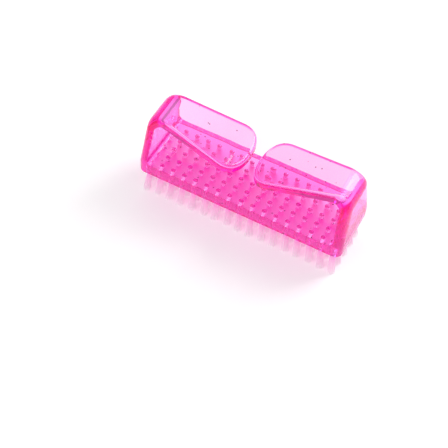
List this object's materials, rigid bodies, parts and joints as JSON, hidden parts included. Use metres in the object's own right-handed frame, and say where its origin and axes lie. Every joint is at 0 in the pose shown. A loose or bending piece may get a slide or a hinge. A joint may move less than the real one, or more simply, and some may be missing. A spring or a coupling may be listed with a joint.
{
  "type": "nail brush",
  "caption": "Hand-held nail scrubbing brush: a clear pink block with stapled bristle tufts below and a pair of turned-over grip flaps above for the fingers.",
  "frame": {"origin": "on the surface the bristle tips stand on, under the middle of the block", "axes": "+X along the block's length, +Y across its width, +Z from the bristle tips up to the grip flaps"},
  "size_m": [0.09, 0.0276, 0.0416],
  "materials": {
    "clear_pink": "clear polished tinted acrylic",
    "nylon_bristle": "translucent drawn filament, satin",
    "anchor_wire": "drawn flat wire"
  },
  "bodies": {
    "root": {"body": "clear_pink", "tuft_column_01": "nylon_bristle", "tuft_column_02": "nylon_bristle", "tuft_column_03": "nylon_bristle", "tuft_column_04": "nylon_bristle", "tuft_column_05": "nylon_bristle", "tuft_column_06": "nylon_bristle", "tuft_column_07": "nylon_bristle", "tuft_column_08": "nylon_bristle", "tuft_column_09": "nylon_bristle", "tuft_column_10": "nylon_bristle", "tuft_column_11": "nylon_bristle", "tuft_column_12": "nylon_bristle", "tuft_column_13": "nylon_bristle", "tuft_column_14": "nylon_bristle", "tuft_column_15": "nylon_bristle", "tuft_column_16": "nylon_bristle", "tuft_column_17": "nylon_bristle"}
  },
  "joints": []
}
